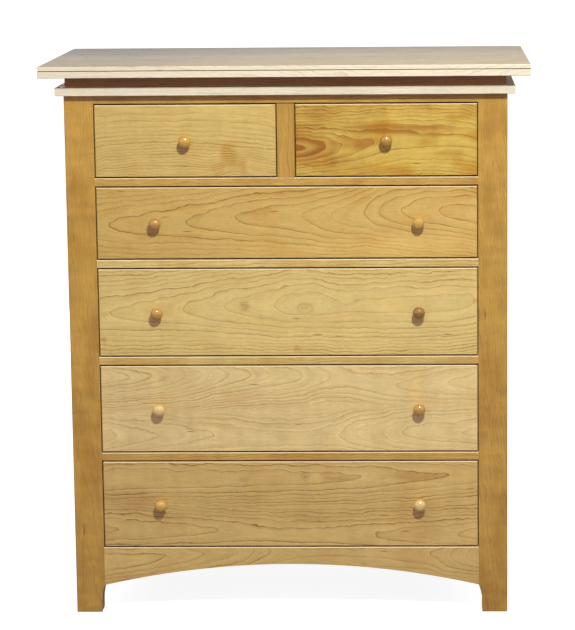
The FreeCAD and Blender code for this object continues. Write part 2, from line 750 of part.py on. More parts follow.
def screw(centre):
    """A countersunk wood screw through cornice and neck into the top."""
    made = body("screw")
    sketch = new_sketch(made, "XZ_Plane", centre[1])
    shank = half(size("screw_diameter"))
    head = half(size("screw_head_diameter"))
    tip = total(NECK_TOP, size("screw_bite"), minus(size("screw_diameter")))
    point = total(tip, half(size("screw_diameter")))
    axis_x = centre[0]
    corners = [(axis_x, CASE_TOP), (total(axis_x, head), CASE_TOP), (total(axis_x, shank), HEAD_TOP),
               (total(axis_x, shank), tip), (axis_x, point)]
    draw(sketch, corners)
    feature = made.newObject("PartDesign::Revolution", "turned")
    feature.Profile = sketch
    axis = sketch.addGeometry(
        Part.LineSegment(Vector(value(axis_x), 0, 0), Vector(value(axis_x), 10, 0)), True)
    pin_point(sketch, axis, 1, axis_x, "0")
    sketch.addConstraint(Sketcher.Constraint("Vertical", axis))
    feature.ReferenceAxis = (sketch, ["Axis0"])
    feature.Angle = 360
    made.Tip = feature
    return made


def top_screws():
    keep("top_screws", [screw(centre) for centre in FRONT_SCREWS + BACK_SCREWS])


def knob(label, x, z):
    """A turned mushroom knob, domed in front, with a tenon that is glued through the drawer front."""
    made = body(label)
    sketch = new_sketch(made, "XY_Plane", "0")
    tenon = half(size("knob_tenon_diameter"))
    foot = half(size("knob_foot_diameter"))
    neck = half(size("knob_neck_diameter"))
    head = half(size("knob_diameter"))
    neck_place = minus(size("knob_neck_place"))
    end = minus(size("knob_length"))
    widest = total(end, size("knob_dome_height"))
    corners = [("0", size("front_thickness")), (tenon, size("front_thickness")), (tenon, "0"),
               (foot, "0"), (neck, neck_place), (head, widest), ("0", end)]
    dome = f"(({head} ^ 2 + {size('knob_dome_height')} ^ 2) / (2 * {size('knob_dome_height')}))"
    draw(sketch, corners, {5: (dome, -1)})
    feature = made.newObject("PartDesign::Revolution", "turned")
    feature.Profile = sketch
    feature.ReferenceAxis = (sketch, ["V_Axis"])
    feature.Angle = 360
    made.Tip = feature
    made.setExpression("Placement.Base.x", x)
    made.setExpression("Placement.Base.y", CASE_FRONT)
    made.setExpression("Placement.Base.z", z)
    return made


def tail_sizes(low, high, count):
    """Pitch of the dovetails on an edge, and the first tail's outline in Y and Z."""
    pitch = f"({total(high, minus(low))} / {count})"
    narrow = f"({pitch} * {size('tail_share')} / 2)"
    flare = f"({total(size('front_thickness'), minus(size('tail_lap')))} / {size('tail_slope')})"
    middle = total(low, half(pitch))
    wide = total(narrow, flare)
    corners = [(FRONT_INSIDE, total(middle, minus(narrow))), (TAIL_END, total(middle, minus(wide))),
               (TAIL_END, total(middle, wide)), (FRONT_INSIDE, total(middle, narrow))]
    return pitch, corners


def repeat(owner, feature, pitch, count):
    """Repeats a tail or its socket up the edge."""
    pattern = owner.newObject("PartDesign::LinearPattern", "row")
    pattern.Originals = [feature]
    pattern.Direction = (feature.Profile[0], ["V_Axis"])
    pattern.setExpression("Length", f"{pitch} * ({count} - 1)")
    pattern.setExpression("Occurrences", count)
    owner.Tip = pattern


def drawer_front(label, left, right, low, high, tails, knobs):
    """The visible front: blind sockets at both ends, a groove for the bottom, holes for knobs."""
    made = body(label)
    side_high, count = tails
    corners = [(left, low), (right, low), (right, high), (left, high)]
    extrude(made, "Pad", "XZ_Plane", CASE_FRONT, FRONT_INSIDE, corners)
    thickness = size("drawer_side_thickness")
    pitch, tail = tail_sizes(low, side_high, count)
    for near, far in ((left, total(left, thickness)), (total(right, minus(thickness)), right)):
        socket = extrude(made, "Pocket", "YZ_Plane", near, far, tail)
        repeat(made, socket, pitch, count)
    groove = total(low, size("drawer_bottom_height"))
    xs = (total(left, thickness), total(right, minus(thickness)))
    ys = (total(FRONT_INSIDE, minus(size("drawer_groove_depth"))), FRONT_INSIDE)
    block(made, "Pocket", xs, ys, (groove, total(groove, size("drawer_bottom_thickness"))))
    diameter = total(size("knob_tenon_diameter"), size("knob_tenon_play"), size("knob_tenon_play"))
    holes(made, "XZ_Plane", CASE_FRONT, FRONT_INSIDE, knobs, diameter)
    ease(made, "Chamfer", "arris", lambda edge, middle: at(middle.y, CASE_FRONT)
         and (along(edge, 0) or along(edge, 2)))
    keep(label, [made])


def drawer_side(label, inward, face, low, high, count):
    """One side of a drawer. inward is +1 where the drawer's inside lies towards +X."""
    made = body(label)
    thickness = size("drawer_side_thickness")
    near, far = (face, total(face, thickness)) if inward > 0 else (total(face, minus(thickness)), face)
    corners = [(FRONT_INSIDE, low), (DRAWER_REAR, low), (DRAWER_REAR, high), (FRONT_INSIDE, high)]
    extrude(made, "Pad", "YZ_Plane", near, far, corners)
    pitch, tail = tail_sizes(low, high, count)
    repeat(made, extrude(made, "Pad", "YZ_Plane", near, far, tail), pitch, count)

    def inside(depth):
        return (total(far, minus(depth)), far) if inward > 0 else (near, total(near, depth))

    groove = total(low, size("drawer_bottom_height"))
    groove_top = total(groove, size("drawer_bottom_thickness"))
    groove_xs = inside(size("drawer_groove_depth"))
    block(made, "Pocket", groove_xs, (TAIL_END, DRAWER_REAR), (groove, groove_top))
    back_ys = (DRAWER_BACK_FRONT, DRAWER_BACK_REAR)
    block(made, "Pocket", inside(size("housing_depth")), back_ys, (groove_top, high))
    keep(label, [made])


def drawer(name, left_edge, right_edge, row, opening, count, knobs):
    """One drawer in its opening: front, two sides, back, bottom and knobs."""
    gap = size("drawer_gap")
    left = total(left_edge, gap)
    right = total(right_edge, minus(gap))
    low = total(row, gap)
    high = total(row, opening, minus(gap))
    side_high = total(high, minus(size("drawer_side_drop")))
    middle = half(total(low, high))
    centres = [(x, middle) for x in knobs]
    drawer_front(f"{name}_front", left, right, low, high, (side_high, count), centres)
    drawer_side(f"{name}_left_side", 1, left, low, side_high, count)
    drawer_side(f"{name}_right_side", -1, right, low, side_high, count)
    panel_low = total(low, size("drawer_bottom_height"))
    panel_top = total(panel_low, size("drawer_bottom_thickness"))
    thickness = size("drawer_side_thickness")
    back = body(f"{name}_back")
    inset = total(thickness, minus(size("housing_depth")))
    back_xs = (total(left, inset), total(right, minus(inset)))
    back_high = total(side_high, minus(size("drawer_back_drop")))
    block(back, "Pad", back_xs, (DRAWER_BACK_FRONT, DRAWER_BACK_REAR), (panel_top, back_high))
    keep(f"{name}_back", [back])
    bottom = body(f"{name}_bottom")
    inset = total(thickness, minus(size("drawer_groove_depth")), size("panel_play"))
    near = total(FRONT_INSIDE, minus(size("drawer_groove_depth")), size("panel_play"))
    bottom_xs = (total(left, inset), total(right, minus(inset)))
    block(bottom, "Pad", bottom_xs, (near, DRAWER_BACK_REAR), (panel_low, panel_top))
    keep(f"{name}_bottom", [bottom])
    word = "knob" if len(knobs) == 1 else "knobs"
    keep(f"{name}_{word}", [knob(f"{name}_knob", x, middle) for x in knobs])


def drawers():
    divider = half(size("divider_width"))
    small = half(total(OPENING, divider))
    wide_knobs = [minus(size("knob_offset")), size("knob_offset")]
    low_count, tall_count = size("low_tail_count"), size("tall_tail_count")
    low_opening, tall_opening = size("low_opening"), size("tall_opening")
    ends = (minus(OPENING), OPENING)
    drawer("top_left_drawer", ends[0], minus(divider), TOP_ROW, low_opening, low_count, [minus(small)])
    drawer("top_right_drawer", divider, ends[1], TOP_ROW, low_opening, low_count, [small])
    drawer("second_drawer", *ends, SECOND_ROW, low_opening, low_count, wide_knobs)
    drawer("third_drawer", *ends, THIRD_ROW, tall_opening, tall_count, wide_knobs)
    drawer("fourth_drawer", *ends, FOURTH_ROW, tall_opening, tall_count, wide_knobs)
    drawer("bottom_drawer", *ends, BOTTOM_ROW, tall_opening, tall_count, wide_knobs)


def write_all():
    doc.recompute()
    for thing in doc.Objects:
        if "Invalid" in thing.State or "Error" in thing.State:
            raise RuntimeError(f"{thing.Name} ({thing.Label}) failed: {thing.State}")
    os.makedirs("parts", exist_ok=True)
    for label, node in nodes.items():
        if node.Shape.isNull() or not node.Shape.isValid():
            raise RuntimeError(f"{label} has no valid shape")
    for label, node in nodes.items():
        node.Shape.exportStep(f"parts/{label}.step")
        print(label, len(node.Shape.Solids), round(node.Shape.Volume))
    print(len(nodes), "sub-parts")


side_frames()
top_rail()
drawer_rails()
centre_divider()
apron()
back_of_case()
drawer_supports()
cornice_frame()
neck_frame()
top_board()
top_screws()
drawers()
write_all()
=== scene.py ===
import math

import bmesh
import bpy
from mathutils import Matrix, Vector


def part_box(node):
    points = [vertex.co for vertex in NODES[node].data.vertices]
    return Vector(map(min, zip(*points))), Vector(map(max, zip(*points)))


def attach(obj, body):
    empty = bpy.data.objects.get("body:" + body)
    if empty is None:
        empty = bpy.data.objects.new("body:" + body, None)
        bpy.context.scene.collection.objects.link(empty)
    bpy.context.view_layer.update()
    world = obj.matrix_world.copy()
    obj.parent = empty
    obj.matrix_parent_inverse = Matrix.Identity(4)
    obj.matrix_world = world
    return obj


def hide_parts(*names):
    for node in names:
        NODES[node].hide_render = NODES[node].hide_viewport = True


# The chest in its finish: every board of solid cherry gets its own cut through the tree's growth
# rings, and the knobs are turned smooth. Lengths are metres. Names that end in _MM, places on a
# board (along, across, deep) and the knobs' outlines are millimetres.

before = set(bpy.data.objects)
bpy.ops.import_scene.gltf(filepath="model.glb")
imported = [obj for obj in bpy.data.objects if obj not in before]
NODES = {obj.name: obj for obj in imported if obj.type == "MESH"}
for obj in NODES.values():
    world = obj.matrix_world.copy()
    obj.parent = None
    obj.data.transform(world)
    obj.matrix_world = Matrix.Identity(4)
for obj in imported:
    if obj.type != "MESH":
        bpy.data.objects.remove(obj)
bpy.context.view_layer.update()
MM = 0.001

DRAWERS = ("top_left_drawer", "top_right_drawer", "second_drawer", "third_drawer", "fourth_drawer",
           "bottom_drawer")


# ---------------------------------------------------------------- node trees

WHITE = (1.0, 1.0, 1.0, 1.0)
LEAST_SPAN = 1e-6


def tone(red, green, blue):
    """A colour given as it looks on screen, from 0 to 255, as the linear values shaders use."""
    def linear(level):
        level = level / 255
        return level / 12.92 if level <= 0.04045 else ((level + 0.055) / 1.055) ** 2.4
    return (linear(red), linear(green), linear(blue), 1.0)


class Graph:
    """The node tree of a material or world. Most calls add a node and return its output."""

    def __init__(self, owner):
        owner.use_nodes = True
        self.tree = owner.node_tree
        self.tree.nodes.clear()

    def feed(self, socket, value):
        if isinstance(value, bpy.types.NodeSocket):
            self.tree.links.new(value, socket)
        else:
            socket.default_value = value

    def add(self, kind, inputs=None, **settings):
        node = self.tree.nodes.new("ShaderNode" + kind)
        for name, value in settings.items():
            setattr(node, name, value)
        for name, value in (inputs or {}).items():
            self.feed(node.inputs[name], value)
        return node

    def show(self, shader, output="OutputMaterial"):
        """Make a shader what the whole tree gives."""
        self.feed(self.add(output).inputs["Surface"], shader.outputs[0])

    def math(self, operation, *values):
        node = self.add("Math", operation=operation)
        for place, value in enumerate(values):
            self.feed(node.inputs[place], value)
        return node.outputs[0]

    def plus(self, a, b):
        return self.math("ADD", a, b)

    def less(self, a, b):
        return self.math("SUBTRACT", a, b)

    def times(self, a, b):
        return self.math("MULTIPLY", a, b)

    def over(self, a, b):
        return self.math("DIVIDE", a, b)

    def total(self, first, *others):
        """The sum of all the terms."""
        return self.plus(first, self.total(*others)) if others else first

    def fraction(self, count):
        """What a number has beyond the whole one below it."""
        return self.math("FRACT", count)

    def choose(self, switch, off, on):
        """The first shader where the switch is 0, and the second where it is 1."""
        choice = self.add("MixShader")
        self.feed(choice.inputs[0], switch)
        self.feed(choice.inputs[1], off.outputs[0])
        self.feed(choice.inputs[2], on.outputs[0])
        return choice

    def vector(self, x, y, z):
        return self.add("CombineXYZ", {"X": x, "Y": y, "Z": z}).outputs[0]

    def split(self, vector):
        return self.add("SeparateXYZ", {"Vector": vector}).outputs

    def noise(self, vector, detail, roughness):
        """Smooth noise about zero, mostly within half a unit either way."""
        node = self.add("TexNoise", {"Vector": vector, "Scale": 1.0, "Detail": detail,
                                     "Roughness": roughness})
        return self.less(node.outputs["Fac"], 0.5)

    def ease(self, value, low, high, out_low=0.0, out_high=1.0):
        """From out_low to out_high, softly, while the value goes from low to high."""
        node = self.add("MapRange", {"Value": value, "From Min": low, "From Max": high,
                                     "To Min": out_low, "To Max": out_high},
                        interpolation_type="SMOOTHSTEP")
        return node.outputs["Result"]

    def blend(self, share, first, second):
        """The first colour where the share is 0, and the second where it is 1."""
        node = self.add("Mix", data_type="RGBA")
        self.feed(node.inputs[0], share)
        self.feed(node.inputs[6], first)
        self.feed(node.inputs[7], second)
        return node.outputs[2]

    def scale_colour(self, colour, factor):
        node = self.add("VectorMath", operation="SCALE")
        self.feed(node.inputs[0], colour)
        self.feed(node.inputs["Scale"], factor)
        return node.outputs[0]

    def curve(self, value, points):
        """A smooth curve through (input, output) points."""
        xs = [x for x, _ in points]
        ys = [y for _, y in points]
        x_low, x_span = min(xs), max(xs) - min(xs)
        y_low, y_span = min(ys), max(max(ys) - min(ys), LEAST_SPAN)
        node = self.add("FloatCurve")
        line = node.mapping.curves[0]
        placed = sorted(((x - x_low) / x_span, (y - y_low) / y_span) for x, y in points)
        line.points[0].location = placed[0]
        line.points[1].location = placed[-1]
        for x, y in placed[1:-1]:
            line.points.new(x, y)
        node.mapping.update()
        self.feed(node.inputs["Value"], self.over(self.less(value, x_low), x_span))
        return self.plus(self.times(node.outputs[0], y_span), y_low)


# ---------------------------------------------------------------- colours

def timber(pale, line, warm, stain=None):
    """A wood's colours: its ground, the late lines of its rings, its warmer patches, its stains."""
    colours = {"pale": tone(*pale), "line": tone(*line), "warm": tone(*warm)}
    if stain:
        colours["stain"] = tone(*stain)
    return colours


CHERRY = timber((219, 188, 108), (164, 122, 50), (208, 167, 84), stain=(184, 130, 34))
CHERRY_DEEP = timber((200, 155, 68), (150, 106, 38), (184, 137, 54))
CHERRY_RED = timber((216, 182, 82), (148, 92, 16), (192, 138, 26), stain=(162, 92, 8))
CHERRY_AMBER = timber((209, 167, 83), (154, 109, 40), (196, 149, 66))
CHERRY_GOLD = timber((216, 180, 98), (158, 112, 42), (206, 160, 76), stain=(186, 132, 52))
CHERRY_WHEAT = timber((228, 200, 122), (168, 124, 56), (218, 180, 96), stain=(184, 132, 58))
CHERRY_LIGHT = timber((233, 205, 136), (182, 144, 80), (220, 185, 112), stain=(190, 146, 78))
CHERRY_DIM = timber((216, 182, 107), (152, 112, 50), (204, 162, 86), stain=(176, 120, 58))
# The next tone, the top's, is darker than the other cherry's: painted shade on the top.
CHERRY_TOP_SHADED = timber((151, 131, 82), (100, 79, 43), (134, 110, 64))
# The neck's redder tone is painted light: the warm light bounced round the recess under the top.
NECK = timber((208, 150, 86), (156, 102, 50), (192, 130, 68))
SAPWOOD = timber((241, 229, 197), (228, 208, 168), (238, 219, 180))
MAPLE = timber((222, 207, 158), (186, 158, 106), (211, 190, 137))
PLYWOOD = timber((212, 189, 130), (174, 140, 82), (197, 168, 108))

# Painted light on the wood: a highlight on upward arrises, shade on downward ones and in the gaps round
# the drawers, and shade in the top's groove.
PAINTED_EDGE_HIGHLIGHT = tone(252, 230, 178)
PAINTED_EDGE_SHADE = tone(70, 20, 0)
GROOVE_SHADE = tone(74, 62, 40)
FLECK = tone(104, 66, 24)
ZINC_DULL = tone(150, 152, 150)
ZINC_BRIGHT = tone(196, 194, 186)


# ---------------------------------------------------------------- wood

# How a board lies: the axes that run along its grain, across its face and through its thickness.
LYING = {"front": (0, 2, 1), "flat": (0, 1, 2), "upright": (2, 0, 1), "side_upright": (2, 1, 0),
         "side": (1, 2, 0)}

# Noise drawn out along the grain: its waves per millimetre along and across, a shift that sets it
# apart from the others, its detail and its roughness.
NOISES = {
    "slow": (0.006, 0.012, 1.3, 1.0, 0.5),
    "middling": (0.020, 0.030, 7.1, 2.0, 0.5),
    "quick": (0.07, 0.13, 4.7, 2.0, 0.5),
    "fading": (0.010, 0.03, 9.9, 2.0, 0.5),
    "patches": (0.009, 0.021, 3.9, 2.0, 0.5),
    "shine": (0.034, 0.010, 8.4, 2.0, 0.5),
    "mottle": (0.09, 0.17, 1.9, 2.0, 0.5),
    "streaks": (0.013, 0.36, 5.5, 3.0, 0.62),
    "fibres": (0.04, 1.3, 2.2, 3.0, 0.6),
}

# Growth rings. The slope is 1 where a ring stands upright in the board and near 0 where it lies
# flat, and a ring looks the wider on the face the flatter it lies.
RING_MM = 4.6
RING_WAVER_MM = 1.6
SWAY_MM = {"slow": 12.0, "middling": 14.0, "quick": 4.6}
HEART_BLEND_MM = 6.0
LEAST_SLOPE = 0.05
KNOT_SLOPE = 0.35
KNOT_WAVER_MM = 14.0

# The lines that the rings draw on the face: a late line at each ring's end, with shade before it
# and pale wood after it, and finer lines twice as close where the rings are steep. A pair of
# numbers gives where something starts and where it is full.
LATE_LINE_MM = 3.0
FINE_LINE_MM = 2.6
LINE_CORE = 0.2
SHADE_REACH_MM = 12.0
DAWN_REACH_MM = 5.0
LEAST_VIGOUR = 0.4
FINE_SHIFT = 0.37
STEEP_SLOPE = (0.18, 0.5)
FADING_NOISE = (-0.22, 0.10)
FADED_LINE = 0.30
SHADE_SHARE = 0.26
FINE_SHARE = 0.42
FINE_DAWN_SHARE = 0.5

# Lines are faint where the rings of two centres meet.
SEAM_MM = (3.0, 18.0)
SEAM_LINE = 0.1

# Patches of warmer wood, stains and flecks. The flecks' waves are given like the noises'.
WARM_NOISE = (-0.08, 0.25)
STAIN_RAGGED_MM = 26.0
STAIN_WAVER_MM = 40.0
STAIN_HILL = (0.15, 0.8)
STAIN_RING_PART = (0.15, 0.8)
STAIN_IN_PALE_RING = 0.45
FLECK_WAVES = (0.020, 0.20, 6.6)
FLECK_CHANCE = 0.018
FLECK_REACH = (0.30, 0.12)

# How much each thing lightens or darkens the wood. The fine grain that follows the rings has its
# waves per millimetre along the board, per ring and per millimetre deep.
LIGHT = {"fibres": 0.20, "streaks": 0.30, "ring_grain": 0.42, "mottle": 0.18, "shine": 0.26,
         "dawn": 0.09, "calm": 0.16, "stave": 0.22}
RING_GRAIN_WAVES = (0.010, 2.4, 0.02)
RING_GRAIN_DETAIL = 3.0
RING_GRAIN_ROUGHNESS = 0.6

# Edges, told by how much of the surface's normal lies along an axis: the first number is where an
# edge doesn't count yet, the second where it counts in full. Upward arrises get a painted highlight
# and downward ones painted shade, and the painted shade in the gaps round the drawers ends a little
# behind the case's face.
TOP_EDGE = (0.95, 0.6)
EDGE_EVENNESS = 0.85
ARRIS = (0.4, 0.5)
FLAT_FACE = (0.95, 0.85)
ARRIS_UP = (0.1, 0.7)
ARRIS_LIGHT = 0.85
ARRIS_DOWN = (0.2, -0.6)
ARRIS_SHADE = 0.9
GAP_SIDE = (0.5, 0.3)
GAP_SHADE = 0.93
CASE_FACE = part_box("apron")[0].y
GAP_DEPTH = (CASE_FACE + 4 * MM, CASE_FACE + 8 * MM)
# How much painted shade the top's groove gets.
GROOVE_SHADE_SHARE = 0.9

# The finish.
WOOD_IOR = 1.5
POLISH_IOR = 2.1
POLISH_TINT = (1.0, 0.88, 0.66, 1.0)
ROUGH_FIBRES = 0.16
ROUGH_LINES = 0.08
ROUGH_SHADE = 0.6
BUMP_STRENGTH = 0.35
BUMP_HEIGHT = 0.0004
BUMP_FIBRES = 0.5
BUMP_LINES = 0.35


class Board(Graph):
    """The node tree of one board. Places on it are counted in millimetres from its middle: along
    its grain, across its face and deep into its thickness."""

    def __init__(self, material, lying, middle, seed):
        super().__init__(material)
        self.seed = seed
        self.place = self.add("TexCoord").outputs["Object"]
        moved = self.add("VectorMath", operation="SUBTRACT")
        self.feed(moved.inputs[0], self.place)
        moved.inputs[1].default_value = middle
        parts = self.split(moved.outputs[0])
        self.along, self.across, self.deep = (self.times(parts[axis], 1 / MM) for axis in LYING[lying])
        self.middling = self.grain_noise("middling")
        self.streaks = self.grain_noise("streaks")
        self.fibres = self.grain_noise("fibres")

    def stretched(self, long, short, shift):
        """The place on the board for a noise, in its waves along the grain and across it."""
        return self.vector(self.plus(self.times(self.along, long), self.seed + shift),
                           self.times(self.across, short), self.times(self.deep, short))

    def grain_noise(self, name):
        long, short, shift, detail, roughness = NOISES[name]
        return self.noise(self.stretched(long, short, shift), detail, roughness)

    def facing(self):
        """How much of the surface's normal lies along each axis."""
        return self.split(self.add("NewGeometry").outputs["True Normal"])

    def luck(self, count):
        """A chance number from 0 to 1 for each whole one that is counted."""
        whole = self.plus(self.math("FLOOR", count), self.seed)
        return self.add("TexWhiteNoise", {"W": whole}, noise_dimensions="1D").outputs["Value"]

    def hill(self, along, across, spot):
        """A round hill, 1 at its top, at a spot of (along, across, reach along, reach across)."""
        u = self.over(self.less(along, spot[0]), spot[2])
        v = self.over(self.less(across, spot[1]), spot[3])
        return self.math("EXPONENT", self.times(self.plus(self.times(u, u), self.times(v, v)), -1.0))

    def count_rings(self, hearts, knots, ring, heart_rings, wave):
        """The number of rings from the tree's centre, their slope to the face, and, where two
        centres meet, by how much one is nearer than the other."""
        # Slow waves bend the whole figure, and quick ones make its lines tremble.
        noises = {"slow": self.grain_noise("slow"), "middling": self.middling,
                  "quick": self.grain_noise("quick")}
        sway = self.total(*(self.times(noises[name], reach * wave) for name, reach in SWAY_MM.items()))
        swayed = self.plus(self.across, sway)
        distance, sideways, apart = None, None, None
        for heart in hearts:
            centre = self.curve(self.along, heart["line"])
            number = self.curve(self.along, heart["rings"])
            depth = self.plus(self.times(self.plus(number, heart_rings), ring), self.deep)
            offset = self.less(swayed, centre)
            reach = self.math("SQRT", self.plus(self.times(offset, offset), self.times(depth, depth)))
            if distance is None:
                distance, sideways = reach, offset
            else:
                apart = self.math("ABSOLUTE", self.less(reach, distance))
                nearer = self.math("LESS_THAN", reach, distance)
                sideways = self.plus(sideways, self.times(nearer, self.less(offset, sideways)))
                distance = self.math("SMOOTH_MIN", distance, reach, HEART_BLEND_MM)
        slope = self.over(sideways, distance)
        slope = self.math("SQRT", self.plus(self.times(slope, slope), LEAST_SLOPE ** 2))
        for knot in knots:
            along = self.plus(self.along, self.times(self.middling, KNOT_WAVER_MM))
            hill = self.hill(along, swayed, knot)
            distance = self.plus(distance, self.times(hill, knot[4] * ring))
            slope = self.plus(slope, self.times(hill, KNOT_SLOPE))
        rings = self.over(self.plus(distance, self.times(self.middling, RING_WAVER_MM * wave)), ring)
        return rings, slope, apart

    def ring_lines(self, rings, slope, ring, width):
        """Each ring darkens slowly, ends in a thin late line and starts again pale. Widths are in
        millimetres on the face, however steeply the ring runs out of it."""
        share = self.fraction(rings)
        vigour = self.ease(self.luck(rings), 0.0, 1.0, LEAST_VIGOUR, 1.0)
        before = self.times(self.over(self.less(1.0, share), slope), ring)
        after = self.times(self.over(share, slope), ring)
        late = self.times(self.ease(before, width, LINE_CORE * width), vigour)
        shade = self.times(self.ease(before, SHADE_REACH_MM, 0.0), vigour)
        dawn = self.times(self.ease(after, DAWN_REACH_MM, 0.0), vigour)
        return late, shade, dawn

    def draw_lines(self, rings, slope, apart, ring):
        """How strong the dark lines are at each point, and the pale wood behind them."""
        late, shade, dawn = self.ring_lines(rings, slope, ring, LATE_LINE_MM)
        halves = self.plus(self.times(rings, 2.0), FINE_SHIFT)
        fine, _, fine_dawn = self.ring_lines(halves, slope, ring, FINE_LINE_MM)
        steep = self.ease(slope, *STEEP_SLOPE)
        fading = self.ease(self.grain_noise("fading"), *FADING_NOISE, FADED_LINE, 1.0)
        if apart is not None:
            seam = self.ease(apart, *SEAM_MM, SEAM_LINE, 1.0)
            fading = self.times(fading, seam)
            steep = self.times(steep, seam)
        lines = self.total(self.times(late, fading), self.times(shade, SHADE_SHARE),
                           self.times(self.times(fine, steep), FINE_SHARE))
        dawn = self.plus(dawn, self.times(self.times(fine_dawn, steep), FINE_DAWN_SHARE))
        return lines, dawn

    def stain(self, colour, rings, spots, stain):
        """Dark spots with ragged ends, weaker in the pale part of each ring."""
        in_ring = self.ease(self.fraction(rings), *STAIN_RING_PART, STAIN_IN_PALE_RING, 1.0)
        for spot in spots:
            ragged = self.plus(self.across, self.times(self.streaks, STAIN_RAGGED_MM))
            along = self.plus(self.along, self.times(self.middling, STAIN_WAVER_MM))
            share = self.ease(self.hill(along, ragged, spot), *STAIN_HILL, 0.0, spot[4])
            colour = self.blend(self.times(share, in_ring), colour, stain)
        return colour

    def lighten(self, rings, dawn, strength, shimmer, fineness):
        """How light the wood is at each point, about 1, from its fibres, rings and shimmer."""
        long, ringwise, deep = RING_GRAIN_WAVES
        followed = self.vector(self.plus(self.times(self.along, long), self.seed),
                               self.times(rings, ringwise), self.times(self.deep, deep))
        ring_grain = self.noise(followed, RING_GRAIN_DETAIL, RING_GRAIN_ROUGHNESS)
        mottle = self.grain_noise("mottle")
        shine = self.grain_noise("shine")
        light = self.total(1.0, self.times(self.fibres, LIGHT["fibres"] * fineness),
                           self.times(self.streaks, LIGHT["streaks"]))
        light = self.total(light, self.times(ring_grain, LIGHT["ring_grain"] * fineness),
                           self.times(mottle, LIGHT["mottle"]))
        return self.total(light, self.times(shine, LIGHT["shine"] * shimmer),
                          self.times(dawn, LIGHT["dawn"] * strength))

    def fleck(self, colour, share):
        """A few short dark fibres."""
        cells = self.add("TexVoronoi", {"Vector": self.stretched(*FLECK_WAVES), "Scale": 1.0}).outputs
        chosen = self.math("GREATER_THAN", self.split(cells["Color"])[0], 1.0 - FLECK_CHANCE)
        fleck = self.times(chosen, self.ease(cells["Distance"], *FLECK_REACH))
        return self.blend(self.times(fleck, share), colour, FLECK)

    def paint_groove_shade(self, colour, groove):
        """Painted shade in a groove, between two heights."""
        height = self.split(self.place)[2]
        above = self.math("GREATER_THAN", height, groove[0])
        below = self.math("LESS_THAN", height, groove[1])
        return self.blend(self.times(self.times(above, below), GROOVE_SHADE_SHARE), colour, GROOVE_SHADE)

    def paint_edge_light(self, colour):
        """A painted highlight on the edges above, and painted shade on those below and in the gaps.
        Also gives where the shade is painted.
        """
        facing = self.facing()
        slanted = self.math("ABSOLUTE", facing[1])
        on_arris = self.times(self.ease(slanted, *ARRIS), self.ease(slanted, *FLAT_FACE))
        upward = self.ease(facing[2], *ARRIS_UP, 0.0, ARRIS_LIGHT)
        colour = self.blend(self.times(on_arris, upward), colour, PAINTED_EDGE_HIGHLIGHT)
        painted_shade = self.times(on_arris, self.ease(facing[2], *ARRIS_DOWN, 0.0, ARRIS_SHADE))
        in_gap = self.ease(self.split(self.place)[1], *GAP_DEPTH, GAP_SHADE, 0.0)
        painted_shade = self.math("MAXIMUM", painted_shade, self.times(self.ease(slanted, *GAP_SIDE), in_gap))
        return self.blend(painted_shade, colour, PAINTED_EDGE_SHADE), painted_shade


